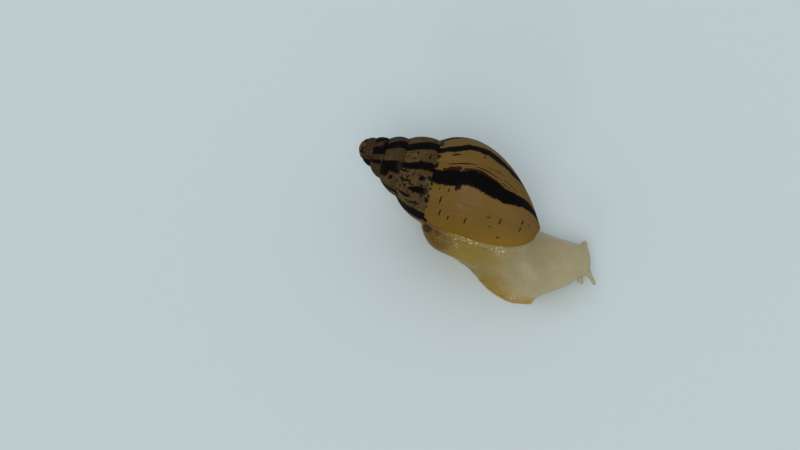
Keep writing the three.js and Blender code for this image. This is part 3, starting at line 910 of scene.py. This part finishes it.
def mouth_relief(points):
    """Height of the mouth's slit and its two lips: a groove between two soft ridges, each a bell curve
    upwards and a flat-topped one across."""
    offset = points - MOUTH
    across, ahead = offset @ MOUTH_SIDE, offset @ MOUTH_AHEAD
    on_front = np.exp(-((across / MOUTH_HALF_WIDTH) ** 4)) * smooth(ahead, *MOUTH_FRONT)
    above = offset[:, 2] + MOUTH_DROOP * across**2
    lips = MOUTH_LIP_HEIGHT * bell(np.abs(above) - MOUTH_LIP_RISE, MOUTH_LIP_WIDTH)
    return on_front * (lips - SLIT_DEPTH * bell(above, SLIT_WIDTH))


def skin_piece(material):
    """The skin: the merged flesh, eased, with low lumps, folds on the flanks, a wrinkled edge to the foot,
    the breathing pore and the mouth."""
    points, quads = flesh()
    on_feeler = smooth(points[:, 0], *FEELERS_FROM)
    points = eased(points, quads, smooth(points[:, 2], *SOLE_HELD) * (1 - FEELERS_HELD * on_feeler))
    normals = normals_of(points, quads)
    z, along_foot = points[:, 2], points @ ALONG_FOOT
    relief = sum(height * lumps(points, size, SEED + 60 + i) for i, (height, size) in enumerate(LUMPS))
    relief += waves(along_foot, FOLDS, SEED + 62, 2) * smooth(z, *FOLDS_BELOW) * smooth(z, *FOLDS_ABOVE)
    relief += waves(along_foot, FRINGE, SEED + 63, 2) * smooth(z, *FRINGE_BELOW)
    relief *= 1 - on_feeler
    relief -= PORE_DEPTH * smooth(np.linalg.norm(points - PORE, axis=1), *PORE_RIM)
    relief += mouth_relief(points)
    points = points + normals * relief[:, None]
    points[:, 2] = np.maximum(points[:, 2], 0)
    return make_piece("skin_whole", points, quads.tolist(), material)


# ---------------- body: its colours

NECK_CREAM = (0.392, 0.318, 0.172)
HEAD_CREAM = (0.415, 0.350, 0.205)
FLANK_OLIVE = (0.262, 0.163, 0.005)
MANTLE_OCHRE = (0.130, 0.058, 0.001)
FEELER_OLIVE = (0.36, 0.345, 0.19)
FOOT_CREAM = (0.42, 0.232, 0.016)
FOOT_RIM = (0.39, 0.192, 0.018)
# Painted shade in the breathing pore's dent.
PORE_SHADE_BROWN = (0.03, 0.011, 0.002)
# Pale colour of the painted highlights on the wet skin.
GLINT_WHITE = (0.86, 0.81, 0.60)

# Where the skin's colours change, in metres, each as where the change begins and where it is full.
NECK_AHEAD = (0.94, 0.342)  # x and y of the neck's direction, which behind and ahead are measured in
FLANK_BEHIND = (0.0195, 0.0)
MANTLE_BEHIND, MANTLE_ABOVE = (-0.008, -0.020), (0.006, 0.013)
HEAD_FROM = (0.030, 0.046)
FEELER_FROM = (0.0498, 0.0515)
FOOT_BELOW, FOOT_BEHIND = (0.0105, 0.0025), (0.0455, 0.041)
RIM_BELOW = (0.0016, 0.0006)
# Painted shade on the neck under the shell's lip: a band of the way ahead, high on the body.
SHADED_BEHIND, SHADED_AHEAD, SHADED_ABOVE = (0.036, 0.022), (0.006, 0.015), (0.009, 0.021)
CALM_FROM = (0.006, 0.022)
FILM_ABOVE, FILM_BEHIND = (0.018, 0.0225), (0.018, 0.009)  # the wet edge beside the shell
FILM_BELOW, FILM_OFF_FLOOR = (0.0065, 0.004), (0.001, 0.0025)  # and the wet edge of the foot
PORE_SPREAD = (9.0e-6, 1.2e-6)  # squares of the distance from the pore
DRIFT = 0.012  # how far the colours' edges drift
# Painted highlights: pale specks that stand in for glints on the wet slime, as x, y, z and radius in
# millimetres: on the mantle's edge and the foot's front.
PAINTED_GLINTS = (
    (0.2, -26.6, 24.3, 2.0), (4.9, -28.6, 30.8, 1.8), (7.7, -28.3, 31.1, 2.4), (11.4, -27.7, 29.7, 2.4),
    (15.3, -26.6, 27.6, 2.6), (20.0, -25.7, 26.6, 3.2), (29.3, -33.6, 3.6, 3.0),
    (38.1, -30.2, 6.0, 2.2),
)


def painted_glint_mask(paint, where):
    """1 in the painted highlights: noise cut to grains, in balls round the places where the wet slime glints.
    """
    masks = []
    for *middle, radius in PAINTED_GLINTS:
        away = paint.distance(where, tuple((np.array(middle) - PLAN_CENTRE) * MM))
        masks.append(paint.smooth(away, radius * MM, radius * 0.5 * MM))
    return paint.largest(masks) * paint.smooth(paint.noise(where, 1500.0, 1.0), 0.57, 0.68)


def skin_material():
    """Wet, translucent skin: cream on the head and neck, olive on the flank, ochre at the mantle's edge."""
    paint = Paint("skin")
    where = paint.places()
    x, y, z = paint.axes(where)
    drift = (paint.noise(where, 170.0, 3.0, 0.55) - 0.5) * DRIFT
    ahead = x * NECK_AHEAD[0] + y * NECK_AHEAD[1] + drift
    mantle = paint.smooth(ahead, *MANTLE_BEHIND) * paint.smooth(z, *MANTLE_ABOVE)
    foot = paint.smooth(z + drift * 0.3, *FOOT_BELOW) * paint.smooth(x, *FOOT_BEHIND)
    colour = paint.blend(paint.smooth(x + drift, *HEAD_FROM), NECK_CREAM, HEAD_CREAM)
    colour = paint.blend(paint.smooth(x, *FEELER_FROM) * 0.8, colour, FEELER_OLIVE)
    colour = paint.blend(foot * 0.6, colour, FOOT_CREAM)
    colour = paint.blend(paint.smooth(ahead, *FLANK_BEHIND) * 0.9, colour, FLANK_OLIVE)
    colour = paint.blend(mantle, colour, MANTLE_OCHRE)
    # Painted shade under the shell's lip: the neck is darkened by up to 15 percent there.
    shaded = paint.smooth(ahead, *SHADED_BEHIND) * paint.smooth(ahead, *SHADED_AHEAD)
    colour = paint.tint(colour, 1.0 - shaded * paint.smooth(z, *SHADED_ABOVE) * 0.15)
    mottle = paint.smooth(paint.noise(where, 420.0, 3.0, 0.6), 0.3, 0.75)
    colour = paint.tint(colour, mottle * 0.07 + 0.95)
    colour = paint.blend(paint.smooth(z, *RIM_BELOW) * 0.7, colour, FOOT_RIM)
    # Painted shade: a dark brown patch in and round the breathing pore's dent.
    pore_x, pore_y, pore_z = (axis - at for axis, at in zip((x, y, z), (PORE - PLAN_CENTRE) * MM))
    from_pore = pore_x * pore_x + pore_y * pore_y + pore_z * pore_z
    colour = paint.blend(paint.smooth(from_pore + drift * 0.0004, *PORE_SPREAD) * 0.93, colour, PORE_SHADE_BROWN)
    # Painted highlights: pale specks on the wet edges beside the shell and at the foot's front.
    colour = paint.blend(painted_glint_mask(paint, where) * 0.85, colour, GLINT_WHITE)

    # Fine tubercles between shallow furrows, and a wet film that breaks the light up.
    tubercles = paint.cells(where, 780.0)
    furrows = paint.smooth(paint.cells(where, 520.0, "DISTANCE_TO_EDGE"), 0.0, 0.16)
    film = paint.noise(where, 900.0, 3.0, 0.6)
    relief = furrows * 0.6 - tubercles * 0.4 + film * 0.35
    calm = 1.0 - paint.smooth(x, *CALM_FROM) * 0.7
    beads = paint.smooth(paint.noise(where, 1150.0, 1.0), 0.35, 0.75)
    shell_side = paint.smooth(z, *FILM_ABOVE) * paint.smooth(ahead, *FILM_BEHIND)
    wet = paint.largest([shell_side, paint.smooth(z, *FILM_BELOW) * paint.smooth(z, *FILM_OFF_FLOOR)])
    return paint.finish(
        {
            "Base Color": colour,
            "Roughness": (mottle * 0.1 + 0.36) * (1.0 - wet * 0.78),
            "Normal": paint.bump(relief * calm + beads * wet * 2.2, 0.45, 0.0003),
            "IOR": 1.4,
            "Specular IOR Level": 0.32,
            "Subsurface Weight": 0.65,
            "Subsurface Radius": (1.0, 0.7, 0.4),
            "Subsurface Scale": 0.005,
            "Coat Weight": (1.0 - mantle * 0.9) * 0.3,
            "Coat Roughness": 0.24,
            "Coat IOR": 1.36,
        }
    )


# ---------------- eyes

EYE_RADIUS = 0.46
EYE_SUNK = 0.35  # from the feeler's rounded end back to the eye's middle
EYE_ROWS, EYE_SIDES = 17, 28
POLE_ANGLE = 0.03  # radians from a pole to its first ring
EYE_BLACK = (0.012, 0.009, 0.008)
EYE_BROWN = (0.035, 0.026, 0.02)


def eye_piece(name, stations, material):
    """An eye: a ball worked out from angles, sunk in its feeler's tip so that a small dome shows."""
    tip, before = np.array(stations[-1]), np.array(stations[-2])
    middle = tip[:3] + unit(tip[:3] - before[:3]) * (tip[3] - EYE_SUNK)
    around = np.linspace(0, 2 * np.pi, EYE_SIDES, endpoint=False)
    down, turn = np.meshgrid(np.linspace(POLE_ANGLE, np.pi - POLE_ANGLE, EYE_ROWS), around, indexing="ij")
    ball = np.stack([np.sin(down) * np.cos(turn), np.sin(down) * np.sin(turn), np.cos(down)], -1)
    points = middle + EYE_RADIUS * ball.reshape(-1, 3)
    quads = facing_out(points, grid_faces(EYE_ROWS, EYE_SIDES, True))
    ends = [end.tolist() for end in ring_ends(quads, EYE_ROWS, EYE_SIDES)]
    return make_piece(name, points, quads.tolist() + ends, material)


def eye_material():
    """A dark wet eye with a fine brown grain."""
    paint = Paint("eye")
    grain = paint.noise(paint.places(), 1600.0)
    colour = paint.blend(grain, EYE_BLACK, EYE_BROWN)
    return paint.finish(
        {"Base Color": colour, "Roughness": grain * 0.1 + 0.12, "Coat Weight": 0.6, "Coat Roughness": 0.05}
    )


# ---------------- pieces

shell = shell_piece(shell_material())
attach(shell, "root")
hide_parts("shell")

skin = skin_piece(skin_material())
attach(skin, "root")
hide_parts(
    "mantle", "trunk", "foot_front", "foot_rear", "tail", "neck", "head",
    "upper_tentacle_left", "upper_tentacle_right", "lower_tentacle_left", "lower_tentacle_right",
)

eye_paint = eye_material()
for side, stations in (("right", FEELERS[0]), ("left", FEELERS[1])):
    eye = eye_piece("eye_ball_" + side, stations, eye_paint)
    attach(eye, "root")
    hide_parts("eye_" + side)

# ---------------- floor, light and camera

FLOOR_HALF = 30.0  # metres
FLOOR_GREY = (0.66, 0.735, 0.74)
FLOOR_PALE = (0.68, 0.75, 0.755)
# Lights as wide as windows: name, direction they shine from, strength, colour and width in degrees.
LIGHTS = (
    ("key", (0.25, -0.85, 1.1), 1.0, (1.0, 0.98, 0.95), 38),
    ("back", (-0.5, 0.6, 0.9), 0.2, (0.95, 0.98, 1.0), 38),
    ("glint", (0.05, -0.93, 0.36), 0.2, (1.0, 1.0, 1.0), 7),
)
SKY_COLOUR = (0.86, 0.94, 1.0, 1.0)
SKY_STRENGTH = 0.52
# The camera looks square on to the shell's axis, a little to the left of the snail.
IMAGE_RIGHT = unit([0.940, 0.342, 0.0])
IMAGE_UP = unit([-0.296, 0.814, 0.5])
STAND_OFF = 700
LOOKS_LEFT, LOOKS_BELOW = 34.2, 2.7
LENS, SENSOR = 70, 36


def floor_piece():
    """Pale matt floor, one flat square with the faintest cloud in it."""
    paint = Paint("floor")
    colour = paint.blend(paint.noise(paint.places(), 2.5), FLOOR_GREY, FLOOR_PALE)
    mesh = bpy.data.meshes.new("floor")
    corners = [(FLOOR_HALF * x, FLOOR_HALF * y, 0) for x, y in ((-1, -1), (1, -1), (1, 1), (-1, 1))]
    mesh.from_pydata(corners, [], [(0, 1, 2, 3)])
    mesh.materials.append(paint.finish({"Base Color": colour, "Roughness": 0.6, "Specular IOR Level": 0.2}))
    return shown("floor", mesh)


def turned_to(back, above):
    """The turn of a lamp or camera whose back faces one way and whose top leans to another."""
    right = unit(np.cross(above, back))
    return Matrix(np.stack([right, np.cross(back, right), back], 1).tolist()).to_euler()


def add_light(name, direction, strength, colour, width):
    light = bpy.data.lights.new(name, "SUN")
    light.angle = np.radians(width)
    light.energy = strength
    light.color = colour
    shown(name, light).rotation_euler = turned_to(unit(direction), [0.0, 0.0, 1.0])


def add_camera():
    stands_at = STAND_OFF * UPWARD
    looks_at = -LOOKS_LEFT * IMAGE_RIGHT - LOOKS_BELOW * IMAGE_UP
    lens = bpy.data.cameras.new("camera")
    lens.lens = LENS
    lens.sensor_width = SENSOR
    lens.clip_start, lens.clip_end = 0.01, 50
    camera = shown("camera", lens)
    camera.location = ((stands_at - PLAN_CENTRE) * MM).tolist()
    camera.rotation_euler = turned_to(unit(stands_at - looks_at), IMAGE_UP)
    bpy.context.scene.camera = camera


floor = floor_piece()
for settings in LIGHTS:
    add_light(*settings)
world = bpy.data.worlds.new("studio")
bpy.context.scene.world = world
world.use_nodes = True
world.node_tree.nodes["Background"].inputs["Color"].default_value = SKY_COLOUR
world.node_tree.nodes["Background"].inputs["Strength"].default_value = SKY_STRENGTH
bpy.context.scene.view_settings.view_transform = "Standard"
add_camera()
